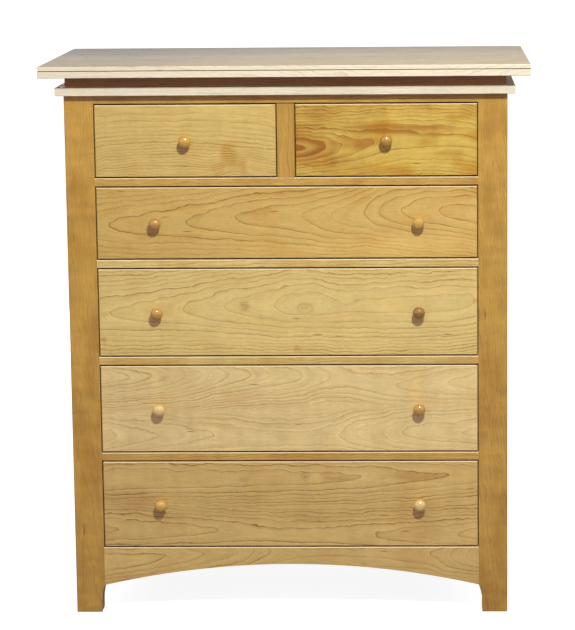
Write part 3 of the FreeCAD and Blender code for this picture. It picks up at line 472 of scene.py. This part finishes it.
def wood(name, lying, middle, tones, hearts, knots=(), stains=(), calm=(), ring=RING_MM,
         heart_rings=33, wave=1.0, strength=0.8, blotch=0.5, shimmer=0.5, fineness=1.0, flecks=0.7,
         cloud=0.0, drift=0.0, tilt=0.0, stave_mm=0, edge_tones=None, groove=None,
         broken_edges=False, rough=0.36, polished=False, seed=0.0):
    """Solid timber.

    hearts: for each of the tree's centres, its line over the board's face and the number of the
        growth ring that reaches the face along it. It lies heart_rings rings deep.
    ring, wave, strength: the rings' width, how much they waver, and how strong their lines are.
    knots, stains, calm: spots of (along, across, reach along, reach across, strength). Rings
        bulge round a knot. Where it is calm, lines fade and the wood is paler. A strength below
        zero turns either the other way.
    blotch, shimmer, fineness, flecks, cloud: how much there is of warm patches, of shine across
        the grain, of fine grain, of dark flecks and of broad clouds.
    drift, tilt: how much lighter it gets per metre along and across.
    stave_mm: the width of boards glued edge to edge.
    edge_tones: the colours of its upright edges. groove: the lower and upper height of a groove
    with painted shade in it. broken_edges: a painted highlight on upper arrises, and painted
    shade on lower ones and on the sides in a gap.
    """
    material = bpy.data.materials.new(name)
    board = Board(material, lying, middle, seed)
    rings, slope, apart = board.count_rings(hearts, knots, ring, heart_rings, wave)
    lines, dawn = board.draw_lines(rings, slope, apart, ring)
    lines = board.times(lines, strength)
    if calm:
        calmed = board.total(*(board.times(board.hill(board.along, board.across, spot), spot[4])
                               for spot in calm))
        lines = board.times(lines, board.less(1.0, calmed))

    patches = board.ease(board.grain_noise("patches"), *WARM_NOISE, 0.0, blotch)
    colour = board.blend(patches, tones["pale"], tones["warm"])
    if stains:
        colour = board.stain(colour, rings, stains, tones["stain"])
    line_colour = tones["line"]
    if edge_tones:
        on_edge = board.ease(board.math("ABSOLUTE", board.facing()[2]), *TOP_EDGE)
        colour = board.blend(on_edge, colour, edge_tones["pale"])
        line_colour = board.blend(on_edge, line_colour, edge_tones["line"])
    colour = board.blend(lines, colour, line_colour)

    light = board.lighten(rings, dawn, strength, shimmer, fineness)
    if cloud:
        light = board.plus(light, board.times(board.middling, cloud))
    if calm:
        light = board.plus(light, board.times(calmed, LIGHT["calm"]))
    if drift or tilt:
        light = board.total(light, board.times(board.along, drift * MM),
                            board.times(board.across, tilt * MM))
    if stave_mm:
        stave = board.luck(board.over(board.across, stave_mm))
        light = board.plus(light, board.times(board.less(stave, 0.5), LIGHT["stave"]))
    if edge_tones:
        uneven = board.less(1.0, board.times(on_edge, EDGE_EVENNESS))
        light = board.plus(1.0, board.times(board.less(light, 1.0), uneven))
    colour = board.scale_colour(colour, light)
    if flecks:
        colour = board.fleck(colour, flecks)
    # Painted shade in the top's groove.
    if groove:
        colour = board.paint_groove_shade(colour, groove)
    roughness = board.total(rough, board.times(board.fibres, ROUGH_FIBRES),
                            board.times(lines, ROUGH_LINES))
    # A painted highlight on the upper arrises, and painted shade on the lower ones and in the gaps.
    if broken_edges:
        colour, painted_shade = board.paint_edge_light(colour)
        roughness = board.plus(roughness, board.times(painted_shade, ROUGH_SHADE))

    shader = board.add("BsdfPrincipled", {"Base Color": colour, "Roughness": roughness})
    shader.inputs["IOR"].default_value = POLISH_IOR if polished else WOOD_IOR
    if polished:
        shader.inputs["Specular Tint"].default_value = POLISH_TINT
    height = board.less(board.times(board.fibres, BUMP_FIBRES), board.times(lines, BUMP_LINES))
    bump = board.add("Bump", {"Strength": BUMP_STRENGTH, "Distance": BUMP_HEIGHT, "Height": height})
    board.feed(shader.inputs["Normal"], bump.outputs[0])
    board.show(shader)
    return material


# The grain of the zinc in waves per metre, and the roughness at two of its levels.
ZINC_WAVES = 900.0
ZINC_DETAIL = 3.0
ZINC_LEVELS = (0.3, 0.7)
ZINC_ROUGHNESS = (0.28, 0.42)


def zinc():
    """Bright zinc plate on the hidden screws."""
    material = bpy.data.materials.new("zinc_plate")
    g = Graph(material)
    place = g.add("TexCoord").outputs["Object"]
    noise = g.add("TexNoise", {"Vector": place, "Scale": ZINC_WAVES, "Detail": ZINC_DETAIL})
    grain = noise.outputs["Fac"]
    colour = g.blend(grain, ZINC_DULL, ZINC_BRIGHT)
    roughness = g.ease(grain, *ZINC_LEVELS, *ZINC_ROUGHNESS)
    g.show(g.add("BsdfPrincipled", {"Base Color": colour, "Metallic": 1.0, "Roughness": roughness}))
    return material


# ---------------------------------------------------------------- the boards' figures

# Where the heart's line runs over a board, and where growth rings end in a tip. Each drawer front
# also has its tones and looks. Their drift is painted light: each front gets lighter towards the
# right, where the lamp stands.
FRONT_FIGURES = {
    "top_left_drawer": dict(
        tones=CHERRY, blotch=0.55, strength=0.65, seed=11.0, drift=0.15, shimmer=0.9,
        knots=[(112, -86, 52, 46, 3.6)],
        stains=[(100, -34, 24, 30, 0.8), (130, -58, 12, 24, 0.6), (78, -66, 12, 18, 0.5),
                (95, -6, 60, 7, 0.3)],
        hearts=[{"line": [(-208, 82), (-60, 102), (60, 92), (208, 84)],
                 "rings": [(-208, 0.5), (-60, -0.2), (60, 0.4), (208, -0.4)]}]),
    "top_right_drawer": dict(
        tones=CHERRY_RED, blotch=0.9, strength=0.75, seed=23.0, drift=0.16, shimmer=1.3, flecks=0.8,
        heart_rings=20, cloud=0.22,
        knots=[(-200, -16, 88, 46, -2.4)],
        calm=[(60, -52, 150, 22, 0.4)],
        stains=[(-206, -16, 96, 38, 0.95), (-190, 30, 50, 12, 0.75), (-150, 62, 44, 20, 0.6),
                (-70, -2, 60, 18, 0.5), (-20, 26, 90, 13, 0.65), (92, 22, 80, 14, 0.7),
                (-120, -44, 70, 14, 0.45)],
        hearts=[{"line": [(-208, -18), (-60, -10), (60, 0), (208, -16)],
                 "rings": [(-208, -0.8), (-112, -0.35), (-44, 0), (40, 0.5), (208, 0.8)]}]),
    "second_drawer": dict(
        tones=CHERRY_GOLD, blotch=0.6, strength=0.95, seed=5.0, drift=0.14,
        calm=[(300, -54, 190, 30, 0.75), (-20, -62, 150, 22, 0.5)],
        stains=[(-60, 28, 46, 12, 0.35)],
        hearts=[{"line": [(-439, -4), (-234, 2), (-115, 12), (103, 14), (264, 28), (439, 16)],
                 "rings": [(-439, 0.2), (-413, 0), (-234, -1), (-115, -2), (37, -3), (103, -4),
                           (179, -5), (211, -6), (264, -7), (351, -8), (439, -8.5)]}]),
    "third_drawer": dict(
        tones=CHERRY_WHEAT, blotch=0.35, strength=0.8, seed=17.0, drift=0.1,
        knots=[(40, 14, 19, 10, 1.1)],
        calm=[(20, -60, 260, 30, 0.35)],
        stains=[(-425, -2, 14, 8, 0.6), (-432, -64, 6, 9, 0.7), (-102, 14, 15, 11, 0.6),
                (16, -86, 9, 8, 0.6), (434, 24, 8, 7, 0.7), (40, 14, 16, 8, 0.4)],
        hearts=[{"line": [(-439, -2), (-244, 8), (-145, 14), (-34, 18), (40, 22), (136, 13), (260, 16),
                          (439, 25)],
                 "rings": [(-439, 0.1), (-416, 0), (-244, -1), (-145, -2), (-34, -3), (40, -3.66),
                           (136, -3.16), (230, -3.27), (400, -3.24), (432, -3), (439, -2.9)]}]),
    "fourth_drawer": dict(
        tones=CHERRY_LIGHT, blotch=0.5, strength=0.75, seed=29.0, drift=0.11, shimmer=0.9,
        heart_rings=15,
        stains=[(-290, 70, 14, 9, 0.4), (-172, -72, 34, 7, 0.3), (-300, -66, 10, 6, 0.3)],
        hearts=[{"line": [(-439, 76), (0, 80), (122, 74), (248, 58), (439, 66)],
                 "rings": [(-439, -8), (-368, -7), (-322, -6), (-280, -5), (-240, -4), (-205, -3),
                           (-175, -2), (-140, -1), (-88, 0), (-40, 1), (32, 2), (56, 3), (99, 4),
                           (180, 4.5), (251, 4), (372, 3), (439, 2.4)]},
                {"line": [(-439, -66), (-305, -62), (0, -70), (156, -58), (439, -56)],
                 "rings": [(-439, 2.6), (-305, 4), (-179, 5), (0, 5.6), (90, 5.3), (154, 4), (218, 3),
                           (262, 2), (439, 0.8)]}]),
    "bottom_drawer": dict(
        tones=CHERRY_DIM, blotch=0.6, strength=0.95, seed=37.0, drift=0.1, shimmer=0.9,
        heart_rings=17,
        knots=[(36, 66, 8, 6, 1.2)],
        stains=[(290, 66, 70, 12, 0.5), (-108, 60, 11, 7, 0.45), (36, 66, 10, 7, 0.4),
                (110, 62, 36, 7, 0.35), (-380, 10, 60, 40, 0.3)],
        hearts=[{"line": [(-439, 62), (161, 64), (363, 70), (439, 72)],
                 "rings": [(-439, -0.9), (-200, -0.6), (60, -0.3), (161, 0), (260, 0.6), (363, 1),
                           (439, 1.4)]},
                {"line": [(-439, -60), (-181, -66), (187, -76), (439, -72)],
                 "rings": [(-439, -1.2), (-181, 0), (0, 0.55), (80, 0.5), (187, 0), (300, -0.55),
                           (389, -1), (439, -1.3)]}]),
}
APRON_HEART = {"line": [(-441, 8), (-205, 30), (-87, 36), (0, 34), (326, 28), (372, 24), (441, 28)],
               "rings": [(-441, -3), (-300, -2), (-205, -1), (-122, 0), (-87, 1), (-46, 2), (20, 2.7),
                         (200, 2.8), (326, 2), (372, 1), (410, 0), (441, -0.8)]}
SIDE_PANEL_HEART = {"line": [(-500, -20), (-150, 12), (200, -8), (520, 18)],
                    "rings": [(-500, -5), (-250, -2.5), (0, 0), (260, 1.6), (520, 4)]}
BACK_PANEL_HEART = {"line": [(-600, 40), (0, -60), (600, 30)],
                    "rings": [(-600, -3), (0, 0), (600, 4)]}
TOP_HEART = {"line": [(-559, -40), (-100, -12), (250, 26), (559, 8)],
             "rings": [(-559, 4), (-380, 2), (-160, 0), (60, -2), (300, -3.4), (559, -5)]}

# Boards without cathedrals take turns with these by their number, and each has a seed of its own.
# The dress functions number the boards through the chest, so that no two neighbours look alike.
PLAIN_SLANTS_MM = (4, 7, 10)
PLAIN_OFFSETS_MM = (70, 87, 104, 121)
PLAIN_DRIFTS = (0.6, 1.1, 1.6)
SEED_STEP = 3.7
PANEL_SEED_STEP = 9.0

RAIL_TONES = {"top_rail": CHERRY_DEEP, "drawer_rail_1": CHERRY_AMBER, "drawer_rail_2": CHERRY_WHEAT,
              "drawer_rail_3": CHERRY, "drawer_rail_4": CHERRY_AMBER}

# The groove in the top's edge, measured down from its surface.
GROOVE_MM = (9.4, 11.2)


def straight_heart(half_length, slant=0.0, offset=60.0, drift=1.0):
    """A tree's centre well outside the board, which gives nearly straight lines."""
    return {"line": [(-half_length, offset - slant), (half_length, offset + slant)],
            "rings": [(-half_length, -drift), (half_length, drift)]}


def middle_of(node):
    low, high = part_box(node)
    return (low + high) / 2


def face_of(node):
    """The middle of a board's front face."""
    middle = middle_of(node)
    middle.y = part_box(node)[0].y
    return middle


def half_length_mm(node, lying):
    low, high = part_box(node)
    return (high - low)[LYING[lying][0]] / 2 / MM


def finish_node(node, material):
    slots = NODES[node].data.materials
    slots.clear()
    slots.append(material)


def dress(node, lying, tones, hearts, middle=None, **looks):
    """Make a node of wood, its figure counted from the board's middle unless another is given."""
    if middle is None:
        middle = middle_of(node)
    finish_node(node, wood(node + "_wood", lying, middle, tones, hearts, **looks))


def dress_plainly(node, lying, tones, number, **looks):
    """Make a node of wood without cathedrals, cut at its own distance from the heart."""
    side = 1 if number % 2 else -1
    heart = straight_heart(half_length_mm(node, lying),
                           slant=side * PLAIN_SLANTS_MM[number % len(PLAIN_SLANTS_MM)],
                           offset=side * PLAIN_OFFSETS_MM[number % len(PLAIN_OFFSETS_MM)],
                           drift=side * PLAIN_DRIFTS[number % len(PLAIN_DRIFTS)])
    dress(node, lying, tones, [heart], seed=SEED_STEP * number, **looks)


def dress_fronts():
    for drawer, figure in FRONT_FIGURES.items():
        node = drawer + "_front"
        dress(node, "front", middle=face_of(node), broken_edges=True, **figure)


def dress_case():
    # The front posts' drift is painted light: they get lighter towards the top, nearer the lamp.
    for number, node in enumerate(("front_left_post", "front_right_post"), start=1):
        half = half_length_mm(node, "upright")
        heart = straight_heart(half, slant=-66, offset=-60 * number, drift=1.6)
        dress(node, "upright", CHERRY_DEEP, [heart], blotch=1.0, strength=0.34, shimmer=1.8, wave=1.3,
              cloud=0.34, fineness=0.6, drift=0.12, seed=SEED_STEP * number)
    for number, node in enumerate(("rear_left_post", "rear_right_post"), start=3):
        dress_plainly(node, "side_upright", CHERRY_DEEP, number, blotch=1.0, strength=0.4, shimmer=1.6)
    for number, node in enumerate(("left_side_panel", "right_side_panel"), start=5):
        dress(node, "side_upright", CHERRY, [SIDE_PANEL_HEART], seed=PANEL_SEED_STEP * number)
    side_rails = ("left_side_top_rail", "left_side_bottom_rail", "right_side_top_rail",
                  "right_side_bottom_rail")
    for number, node in enumerate(side_rails, start=7):
        dress_plainly(node, "side", CHERRY_DEEP, number, blotch=0.7)
    for number, (node, tones) in enumerate(RAIL_TONES.items(), start=11):
        dress_plainly(node, "front", tones, number, blotch=0.9, strength=0.5, shimmer=1.4,
                      broken_edges=True)
    dress_plainly("centre_divider", "upright", CHERRY_DEEP, 16, strength=0.5, broken_edges=True)
    dress_plainly("rear_rails", "front", MAPLE, 17, strength=0.5)
    dress("apron", "front", CHERRY_DIM, [APRON_HEART], middle=face_of("apron"), blotch=0.6,
          strength=0.8, heart_rings=16, broken_edges=True, seed=41.0)
    dress("back_panel", "upright", PLYWOOD, [BACK_PANEL_HEART], strength=0.5, rough=0.5, seed=43.0)


def dress_top():
    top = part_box("top_board")[1].z
    groove = (top - GROOVE_MM[1] * MM, top - GROOVE_MM[0] * MM)
    # The top's tone is painted shade. The top also gets darker towards the left and the back.
    dress("top_board", "flat", CHERRY_TOP_SHADED, [TOP_HEART], strength=0.8, blotch=0.8, shimmer=1.2,
          drift=0.34, tilt=-1.7, stave_mm=94, calm=[(-450, 0, 240, 500, -1.1)], rough=0.315,
          edge_tones=SAPWOOD, groove=groove, seed=47.0)
    heart = straight_heart(530, offset=90)
    dress("cornice_frame", "front", SAPWOOD, [heart], strength=0.5, seed=53.0)
    dress("neck_frame", "front", NECK, [heart], strength=0.5, seed=59.0)


def dress_insides():
    dress("drawer_supports", "side", MAPLE, [straight_heart(260, offset=80)], strength=0.5, rough=0.5,
          seed=61.0)
    for number, drawer in enumerate(DRAWERS, start=18):
        for side in ("_left_side", "_right_side"):
            dress_plainly(drawer + side, "side", MAPLE, number, strength=0.5, rough=0.48)
        dress_plainly(drawer + "_back", "front", MAPLE, number + 6, strength=0.5, rough=0.48)
        dress_plainly(drawer + "_bottom", "flat", PLYWOOD, number + 12, strength=0.45, rough=0.5)
    finish_node("top_screws", zinc())


# ---------------------------------------------------------------- knobs

KNOB_SEGMENTS = 72
STEPS_PER_SPAN = 7
TENON_RADIUS_MM = 4.75
ON_AXIS_MM = 1e-6
SHARP_EDGE = math.radians(40)
KNOB_RING_MM = 1.8
KNOB_SEED_STEP = 2.3

# Radius and distance in front of the drawer, as shares of the knob's radius and length, from the
# foot to the crown.
KNOB_PROFILE = ((0.56, 0.0), (0.54, 0.05), (0.43, 0.16), (0.42, 0.27), (0.60, 0.37), (0.89, 0.47),
                (1.0, 0.60), (0.93, 0.76), (0.68, 0.91), (0.34, 0.98), (0.0, 1.0))

# Every knob was turned from a scrap of its own, so their tones differ.
GOLDEN = timber((212, 168, 74), (160, 112, 40), (196, 146, 56))
AMBER = timber((190, 140, 50), (140, 92, 26), (174, 120, 38))
ROSY = timber((190, 137, 62), (140, 92, 36), (174, 120, 50))
HONEY = timber((196, 148, 62), (146, 100, 36), (180, 128, 50))
DARK = timber((154, 106, 36), (108, 68, 20), (140, 92, 28))
PALE = timber((232, 198, 124), (184, 144, 76), (218, 178, 104))
KNOBS = {"top_left_drawer": [GOLDEN], "top_right_drawer": [AMBER], "second_drawer": [ROSY, GOLDEN],
         "third_drawer": [HONEY, DARK], "fourth_drawer": [PALE, HONEY],
         "bottom_drawer": [GOLDEN, PALE]}


def through(points):
    """Points of a smooth Catmull-Rom line through the given ones."""
    ends = [points[0]] + points + [points[-1]]
    line = []
    for a, b, c, d in zip(ends, ends[1:], ends[2:], ends[3:]):
        for step in range(STEPS_PER_SPAN):
            t = step / STEPS_PER_SPAN
            line.append(tuple(
                0.5 * (2 * q + (r - p) * t + (2 * p - 5 * q + 4 * r - s) * t ** 2
                       + (3 * q - p - 3 * r + s) * t ** 3)
                for p, q, r, s in zip(a, b, c, d)))
    line.append(points[-1])
    return line


def turned_knob(name, middle, length, radius, tenon):
    """A closed turned form about an axis along Y, with its tenon behind the drawer's face, which
    the middle lies on."""
    profile = [(across * radius, out * length) for across, out in KNOB_PROFILE]
    outline = [(TENON_RADIUS_MM, -tenon), (TENON_RADIUS_MM, 0.0)] + through(profile)
    mesh = bpy.data.meshes.new(name)
    form = bmesh.new()
    rings = []
    for across, out in outline:
        front = middle.y - out * MM
        if across < ON_AXIS_MM:
            rings.append([form.verts.new((middle.x, front, middle.z))])
            continue
        ring = []
        for part in range(KNOB_SEGMENTS):
            angle = 2 * math.pi * part / KNOB_SEGMENTS
            ring.append(form.verts.new((middle.x + across * MM * math.cos(angle), front,
                                        middle.z + across * MM * math.sin(angle))))
        rings.append(ring)
    for first, second in zip(rings, rings[1:]):
        for part in range(KNOB_SEGMENTS):
            following = (part + 1) % KNOB_SEGMENTS
            if len(second) == 1:
                form.faces.new((first[part], first[following], second[0]))
            else:
                form.faces.new((first[part], first[following], second[following], second[part]))
    form.faces.new(rings[0])
    bmesh.ops.recalc_face_normals(form, faces=form.faces)
    for face in form.faces:
        face.smooth = True
    for edge in form.edges:
        if edge.calc_face_angle(0.0) > SHARP_EDGE:
            edge.smooth = False
    form.to_mesh(mesh)
    form.free()
    piece = bpy.data.objects.new(name, mesh)
    bpy.context.scene.collection.objects.link(piece)
    return piece


def make_knobs():
    for drawer, tones in KNOBS.items():
        paired = len(tones) == 2
        node = drawer + ("_knobs" if paired else "_knob")
        low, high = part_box(node)
        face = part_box(drawer + "_front")[0].y
        length = (face - low.y) / MM
        tenon = (high.y - face) / MM
        radius = (high.z - low.z) / 2
        places = [low.x + radius, high.x - radius] if paired else [(low.x + high.x) / 2]
        words = ["_left", "_right"] if paired else [""]
        for number, (x, word, colours) in enumerate(zip(places, words, tones)):
            middle = Vector((x, face, (low.z + high.z) / 2))
            piece = turned_knob(drawer + word + "_turned_knob", middle, length, radius / MM, tenon)
            heart = straight_heart(30, offset=6)
            piece.data.materials.append(
                wood(piece.name + "_wood", "side", middle, colours, [heart], ring=KNOB_RING_MM,
                     wave=0.2, strength=0.35, flecks=0.0, rough=0.13, polished=True,
                     seed=KNOB_SEED_STEP * number + len(drawer)))
            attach(piece, drawer)
            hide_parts(node)


# ---------------------------------------------------------------- stage, lights and camera

# To the camera the floor is a grey that holds the chest's shadow, plus a glow that grows to full
# white between two distances from its middle. What it throws back on the chest has a colour of
# its own.
FLOOR_HALF = 40.0
FLOOR_COLOUR = (0.4, 0.4, 0.4, 1.0)
GLOW_AT = (1.2, 4.5)
GLOW = (0.88, 1.0)
BOUNCE_COLOUR = (0.20, 0.21, 0.32, 1.0)

# The soft light from all round, and the lamps.
FILL_COLOUR = (1.07, 0.82, 0.96, 1.0)
FILL_STRENGTH = 0.52
LAMPS = {
    "key": dict(place=(0.75, -3.2, 3.6), target=(0.0, -0.23, 0.8), width=0.3, watts=126.0,
                colour=(0.973, 1.07, 1.04)),
    "left": dict(place=(-3.6, 1.6, 2.6), target=(0.0, 0.0, 0.6), width=1.6, watts=45.0),
    "right": dict(place=(3.6, 1.6, 2.6), target=(0.0, 0.0, 0.6), width=1.6, watts=45.0),
    "back": dict(place=(-0.6, 3.8, 0.6), target=(0.0, 0.0, 0.7), width=1.0, watts=50.0),
}


def make_floor():
    mesh = bpy.data.meshes.new("floor")
    corners = [(-FLOOR_HALF, -FLOOR_HALF, 0), (FLOOR_HALF, -FLOOR_HALF, 0), (FLOOR_HALF, FLOOR_HALF, 0),
               (-FLOOR_HALF, FLOOR_HALF, 0)]
    mesh.from_pydata(corners, [], [(0, 1, 2, 3)])
    floor = bpy.data.objects.new("floor", mesh)
    bpy.context.scene.collection.objects.link(floor)
    material = bpy.data.materials.new("white_floor")
    g = Graph(material)
    away = g.add("VectorMath", operation="LENGTH")
    g.feed(away.inputs[0], g.add("TexCoord").outputs["Object"])
    glow = g.ease(away.outputs["Value"], *GLOW_AT, *GLOW)
    seen = g.add("AddShader")
    g.feed(seen.inputs[0], g.add("BsdfDiffuse", {"Color": FLOOR_COLOUR}).outputs[0])
    g.feed(seen.inputs[1], g.add("Emission", {"Color": WHITE, "Strength": glow}).outputs[0])
    bounced = g.add("BsdfDiffuse", {"Color": BOUNCE_COLOUR})
    g.show(g.choose(g.add("LightPath").outputs["Is Camera Ray"], bounced, seen))
    mesh.materials.append(material)


def make_world():
    """White where the camera looks past the floor, and a soft even light on everything else."""
    world = bpy.data.worlds.new("studio")
    bpy.context.scene.world = world
    g = Graph(world)
    white = g.add("Background", {"Color": WHITE, "Strength": 1.0})
    soft = g.add("Background", {"Color": FILL_COLOUR, "Strength": FILL_STRENGTH})
    path = g.add("LightPath").outputs
    seen = g.math("MAXIMUM", path["Is Camera Ray"], path["Is Glossy Ray"])
    g.show(g.choose(seen, soft, white), "OutputWorld")


def make_lamp(name, place, target, width, watts, colour=(1.0, 1.0, 1.0)):
    lamp = bpy.data.lights.new(name, "AREA")
    lamp.shape = "DISK"
    lamp.color = colour
    lamp.size = width
    lamp.energy = watts
    holder = bpy.data.objects.new(name, lamp)
    holder.location = place
    holder.rotation_euler = (Vector(target) - Vector(place)).to_track_quat("-Z", "Y").to_euler()
    bpy.context.scene.collection.objects.link(holder)


def make_lights():
    for name, lamp in LAMPS.items():
        make_lamp(name, **lamp)


# The camera, in the photograph's own pixels and in metres.
PHOTO_WIDTH, PHOTO_HEIGHT = 575, 630
FOCAL_PIXELS = 2309
AXIS_X, AXIS_Y = 375, 212
CAMERA_PLACE = (0.319, -5.483, 1.716)
YAW, PITCH, ROLL = (math.radians(angle) for angle in (1.26, -8.27, 0.46))
SENSOR_MM = 36.0


def make_camera():
    lens = bpy.data.cameras.new("camera")
    lens.sensor_width = SENSOR_MM
    long_side = max(PHOTO_WIDTH, PHOTO_HEIGHT)
    lens.lens = FOCAL_PIXELS * SENSOR_MM / long_side
    lens.shift_x = (PHOTO_WIDTH / 2 - AXIS_X) / long_side
    lens.shift_y = (AXIS_Y - PHOTO_HEIGHT / 2) / long_side
    camera = bpy.data.objects.new("camera", lens)
    turn = Matrix.Rotation(YAW, 3, "Z") @ Matrix.Rotation(PITCH, 3, "X") @ Matrix.Rotation(ROLL, 3, "Y")
    right, forward, up = (turn.col[axis] for axis in range(3))
    axes = Matrix((right, up, -forward)).transposed()
    camera.matrix_world = Matrix.Translation(CAMERA_PLACE) @ axes.to_4x4()
    bpy.context.scene.collection.objects.link(camera)
    bpy.context.scene.camera = camera


dress_fronts()
dress_case()
dress_top()
dress_insides()
make_knobs()
make_floor()
make_world()
make_lights()
make_camera()
bpy.context.scene.view_settings.view_transform = "Standard"
